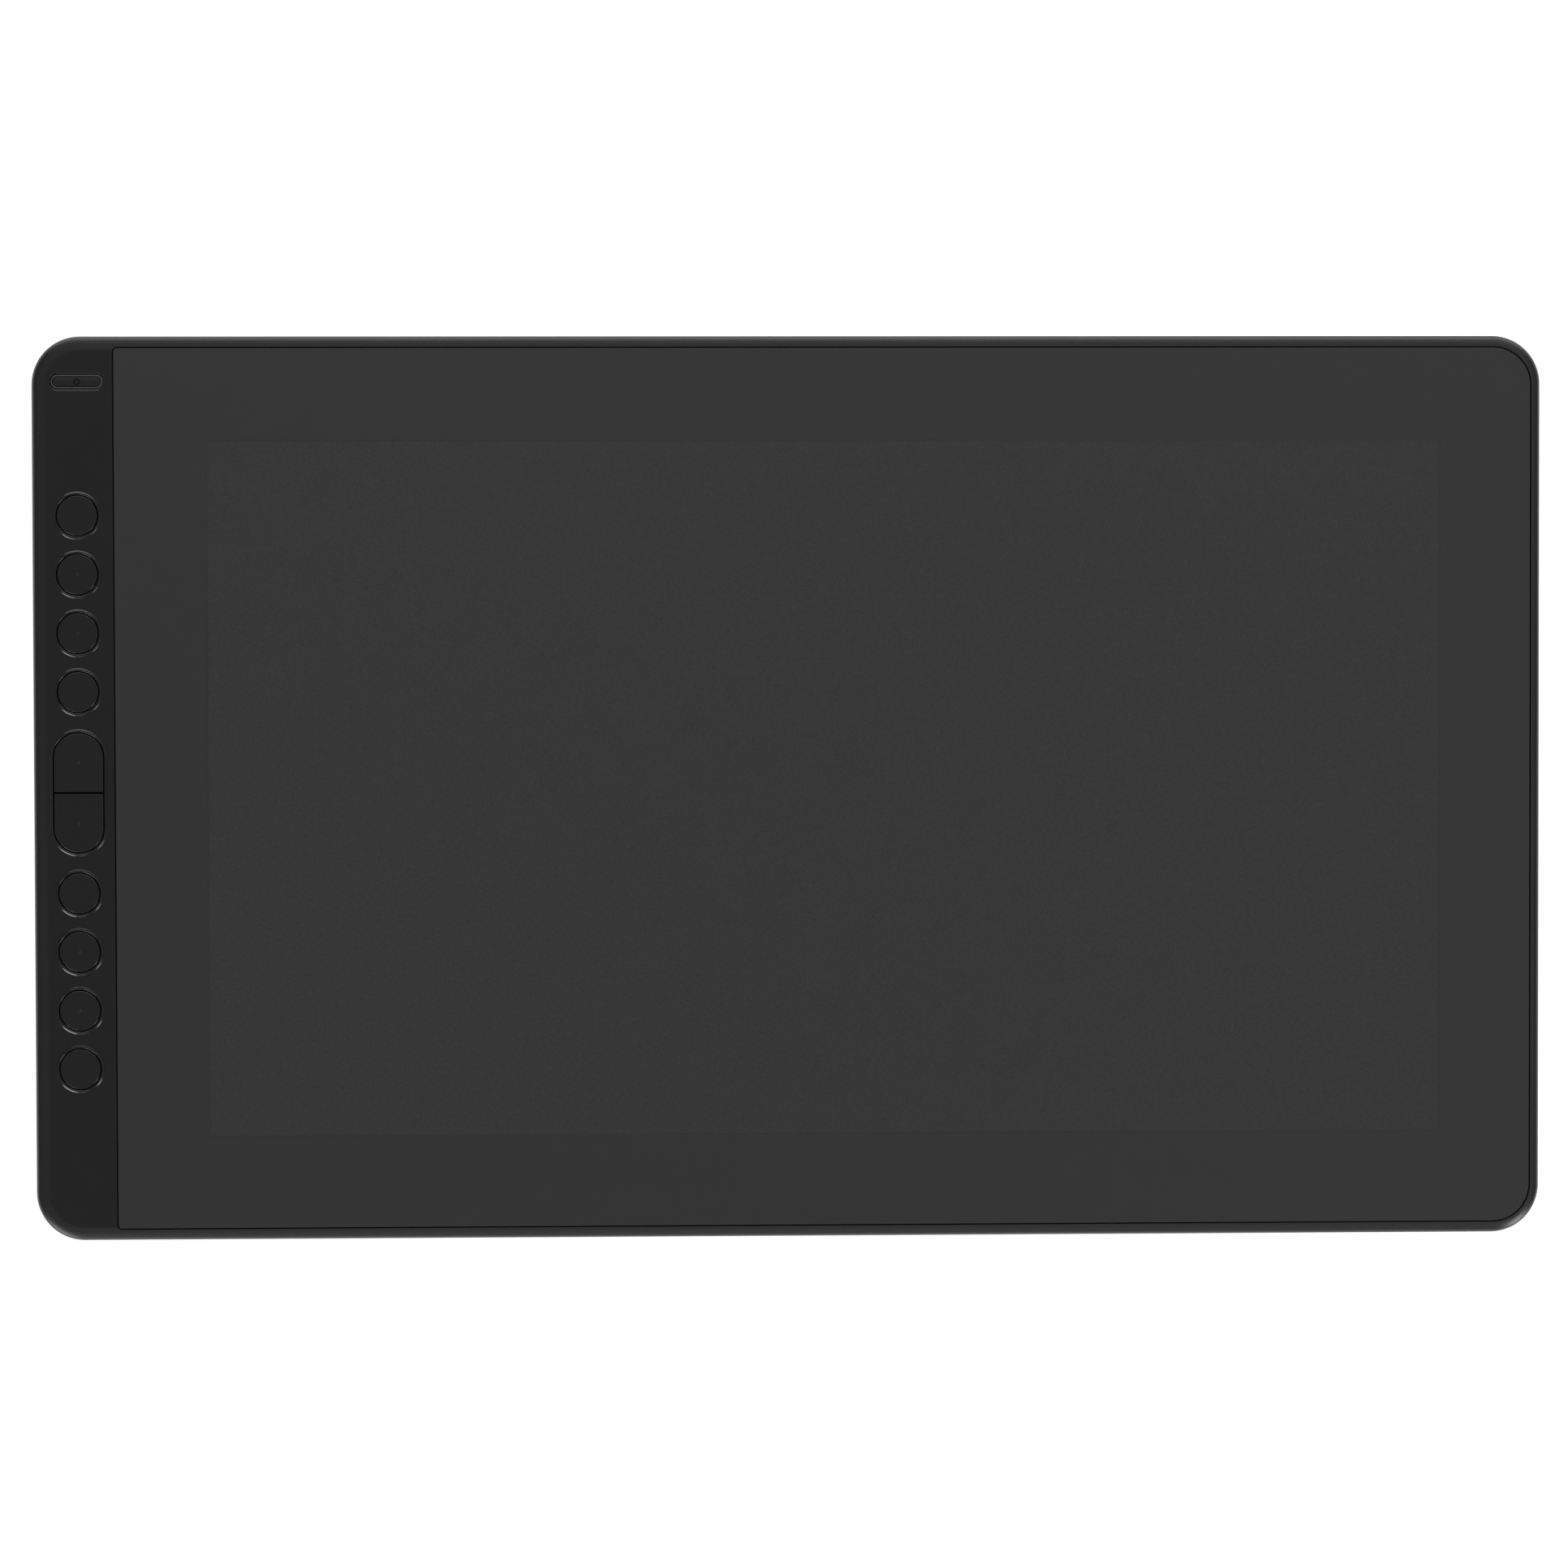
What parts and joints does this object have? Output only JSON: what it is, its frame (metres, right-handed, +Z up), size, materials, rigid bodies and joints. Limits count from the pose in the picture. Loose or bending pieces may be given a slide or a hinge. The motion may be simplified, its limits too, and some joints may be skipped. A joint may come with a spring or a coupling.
{
  "type": "graphics tablet with screen",
  "caption": "Flat pen display: a bonded glass drawing screen in a slim black frame, with a column of press keys, a split rocker and a lit power key at its left side.",
  "frame": {"origin": "middle of the body's outline, at the level of the feet's soles", "axes": "+Z up out of the screen, +X along the long side to the right of the keys, +Y away from the user"},
  "size_m": [0.4222, 0.2524, 0.0128],
  "materials": {
    "housing": "fine moulded texture, matte black",
    "key_plastic": "smooth satin black moulding",
    "etched_glass": "etched anti-glare glass with a black printed border",
    "light_ring": "smoky translucent plastic",
    "foot_rubber": "soft matte rubber",
    "screw_steel": "black-plated screws",
    "tape": "black foam tape",
    "clear_film": "clear polymer sheet",
    "diffuser_film": "milky diffuser sheet",
    "white_film": "white reflector sheet",
    "screen_cell": "dark polarised screen cell",
    "white_moulding": "white moulded plastic",
    "led_strip": "white strip with yellow phosphor",
    "sheet_steel": "pressed zinc-plated sheet",
    "shield_foil": "thin shield foil",
    "circuit_board": "green solder mask",
    "flex_film": "amber polyimide film",
    "chip_resin": "black moulded resin",
    "socket_steel": "drawn stainless shell",
    "connector_plastic": "ivory connector plastic",
    "switch_plastic": "black switch body",
    "plunger_plastic": "ivory plunger",
    "flat_cable": "white flat flexible cable"
  },
  "bodies": {
    "housing": {"front_frame": "housing", "rear_cover": "housing", "housing_screws": "screw_steel", "foot_near_left": "foot_rubber", "foot_near_right": "foot_rubber", "foot_far_left": "foot_rubber", "foot_far_right": "foot_rubber", "cover_glass": "etched_glass", "glass_tape": "tape", "optical_adhesive": "clear_film", "lcd_cell": "screen_cell", "optical_films": "diffuser_film", "light_guide": "clear_film", "reflector_film": "white_film", "led_bar": "led_strip", "panel_frame": "white_moulding", "backlight_tray": "sheet_steel", "driver_board": "circuit_board", "panel_flexes": "flex_film", "digitizer_board": "circuit_board", "shield_sheet": "shield_foil", "support_tray": "sheet_steel", "tray_screws": "screw_steel", "main_board": "circuit_board", "main_board_chips": "chip_resin", "main_board_screws": "screw_steel", "usb_shell_far": "socket_steel", "usb_shell_near": "socket_steel", "usb_tongues": "chip_resin", "cable_connectors": "connector_plastic", "key_board": "circuit_board", "key_board_screws": "screw_steel", "key_switches": "switch_plastic", "power_led": "led_strip", "key_cable": "flat_cable", "panel_cable": "flat_cable", "digitizer_cable": "flat_cable"},
    "key_1": {"key_1": "key_plastic", "key_1_plunger": "plunger_plastic"},
    "key_2": {"key_2": "key_plastic", "key_2_plunger": "plunger_plastic"},
    "key_3": {"key_3": "key_plastic", "key_3_plunger": "plunger_plastic"},
    "key_4": {"key_4": "key_plastic", "key_4_plunger": "plunger_plastic"},
    "key_5": {"key_5": "key_plastic", "key_5_plunger": "plunger_plastic"},
    "key_6": {"key_6": "key_plastic", "key_6_plunger": "plunger_plastic"},
    "key_7": {"key_7": "key_plastic", "key_7_plunger": "plunger_plastic"},
    "key_8": {"key_8": "key_plastic", "key_8_plunger": "plunger_plastic"},
    "rocker_far": {"rocker_far": "key_plastic", "rocker_far_plunger": "plunger_plastic"},
    "rocker_near": {"rocker_near": "key_plastic", "rocker_near_plunger": "plunger_plastic"},
    "power_key": {"power_cap": "key_plastic", "power_light_ring": "light_ring", "power_plunger": "plunger_plastic"}
  },
  "joints": [
    {"name": "key_1_press", "type": "slide", "parent": "housing", "child": "key_1", "axis": [0, 0, -1], "range_m": [0, 0.0004], "stiffness_N_per_m": 2500},
    {"name": "key_2_press", "type": "slide", "parent": "housing", "child": "key_2", "axis": [0, 0, -1], "range_m": [0, 0.0004], "stiffness_N_per_m": 2500},
    {"name": "key_3_press", "type": "slide", "parent": "housing", "child": "key_3", "axis": [0, 0, -1], "range_m": [0, 0.0004], "stiffness_N_per_m": 2500},
    {"name": "key_4_press", "type": "slide", "parent": "housing", "child": "key_4", "axis": [0, 0, -1], "range_m": [0, 0.0004], "stiffness_N_per_m": 2500},
    {"name": "key_5_press", "type": "slide", "parent": "housing", "child": "key_5", "axis": [0, 0, -1], "range_m": [0, 0.0004], "stiffness_N_per_m": 2500},
    {"name": "key_6_press", "type": "slide", "parent": "housing", "child": "key_6", "axis": [0, 0, -1], "range_m": [0, 0.0004], "stiffness_N_per_m": 2500},
    {"name": "key_7_press", "type": "slide", "parent": "housing", "child": "key_7", "axis": [0, 0, -1], "range_m": [0, 0.0004], "stiffness_N_per_m": 2500},
    {"name": "key_8_press", "type": "slide", "parent": "housing", "child": "key_8", "axis": [0, 0, -1], "range_m": [0, 0.0004], "stiffness_N_per_m": 2500},
    {"name": "rocker_far_press", "type": "slide", "parent": "housing", "child": "rocker_far", "axis": [0, 0, -1], "range_m": [0, 0.0004], "stiffness_N_per_m": 2500},
    {"name": "rocker_near_press", "type": "slide", "parent": "housing", "child": "rocker_near", "axis": [0, 0, -1], "range_m": [0, 0.0004], "stiffness_N_per_m": 2500},
    {"name": "power_key_press", "type": "slide", "parent": "housing", "child": "power_key", "axis": [0, 0, -1], "range_m": [0, 0.0004], "stiffness_N_per_m": 2500}
  ]
}
